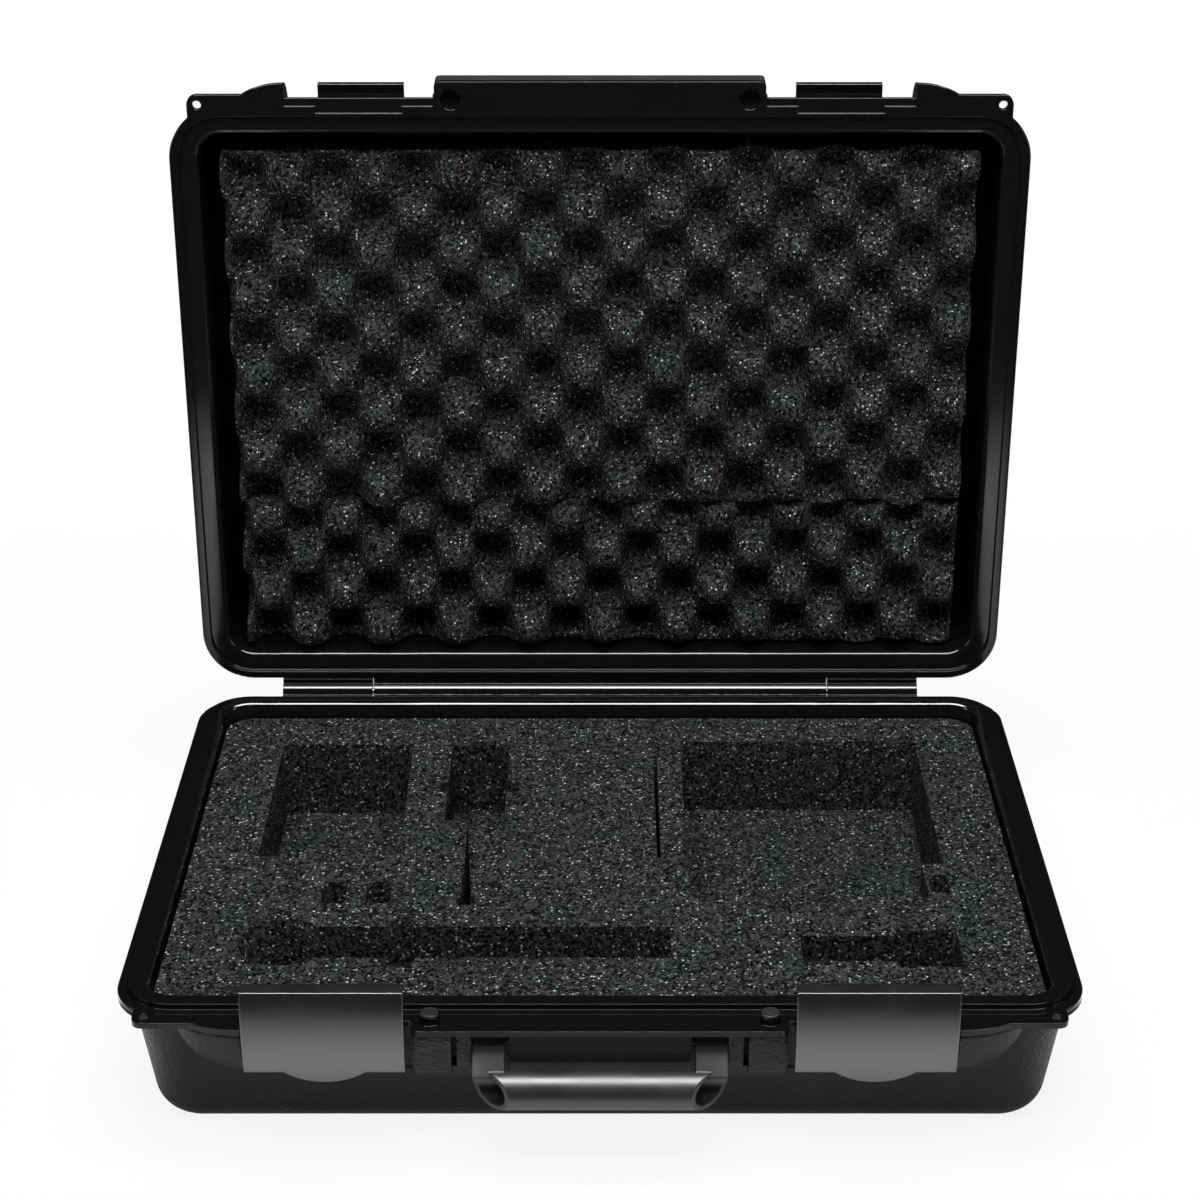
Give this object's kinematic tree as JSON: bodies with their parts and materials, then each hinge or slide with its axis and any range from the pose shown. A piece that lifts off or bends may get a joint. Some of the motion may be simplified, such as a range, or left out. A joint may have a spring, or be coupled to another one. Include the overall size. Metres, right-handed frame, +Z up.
{
  "type": "microphone case",
  "caption": "Hard-shell carrying case, hinged lid with egg-crate foam, die-cut foam tray, draw latches and a folding carrying handle.",
  "frame": {"origin": "middle of the flat underside of the base", "axes": "+X along the front to the right, +Y from the latches to the hinge, +Z up"},
  "size_m": [0.485, 0.4428, 0.4583],
  "materials": {
    "shell_plastic": "satin",
    "latch_plastic": "satin",
    "handle_plastic": "satin",
    "keeper_plastic": "gloss",
    "steel_pin": "satin",
    "tray_foam": "matte",
    "lid_foam": "matte"
  },
  "bodies": {
    "base": {"base_shell": "shell_plastic", "base_foam_tray": "tray_foam", "base_foam_pad": "tray_foam", "hinge_pin_left": "steel_pin", "hinge_pin_right": "steel_pin", "latch_base_pin_left": "steel_pin", "latch_base_pin_right": "steel_pin", "handle_pin_left": "steel_pin", "handle_pin_right": "steel_pin"},
    "lid": {"lid_shell": "shell_plastic", "lid_foam_lower": "lid_foam", "lid_foam_upper": "lid_foam", "keeper_left": "keeper_plastic", "keeper_right": "keeper_plastic"},
    "handle": {"handle": "handle_plastic"},
    "link_left": {"latch_link_left": "latch_plastic"},
    "latch_left": {"latch_plate_left": "latch_plastic", "latch_plate_pin_left": "steel_pin"},
    "link_right": {"latch_link_right": "latch_plastic"},
    "latch_right": {"latch_plate_right": "latch_plastic", "latch_plate_pin_right": "steel_pin"}
  },
  "joints": [
    {"name": "lid_hinge", "type": "hinge", "parent": "base", "child": "lid", "pos_m": [0, 0.18775, 0.076], "axis": [1, 0, 0], "range_deg": [0, 88]},
    {"name": "latch_left_link_hinge", "type": "hinge", "parent": "base", "child": "link_left", "pos_m": [-0.13475, -0.17975, 0.068], "axis": [-1, 0, 0], "range_deg": [-37, 75]},
    {"name": "latch_left_plate_hinge", "type": "hinge", "parent": "link_left", "child": "latch_left", "pos_m": [-0.13475, -0.18575, 0.05761], "axis": [-1, 0, 0], "range_deg": [-79, 39]},
    {"name": "latch_right_link_hinge", "type": "hinge", "parent": "base", "child": "link_right", "pos_m": [0.13475, -0.17975, 0.068], "axis": [-1, 0, 0], "range_deg": [-37, 75]},
    {"name": "latch_right_plate_hinge", "type": "hinge", "parent": "link_right", "child": "latch_right", "pos_m": [0.13475, -0.18575, 0.05761], "axis": [-1, 0, 0], "range_deg": [-79, 39]},
    {"name": "handle_swing", "type": "hinge", "parent": "base", "child": "handle", "pos_m": [0, -0.18325, 0.064], "axis": [-1, 0, 0], "range_deg": [0, 58]}
  ],
  "couplings": [
    {"joint": "latch_left_plate_hinge", "follows": "latch_left_link_hinge", "ratio": -1.05},
    {"joint": "latch_right_plate_hinge", "follows": "latch_right_link_hinge", "ratio": -1.05}
  ]
}
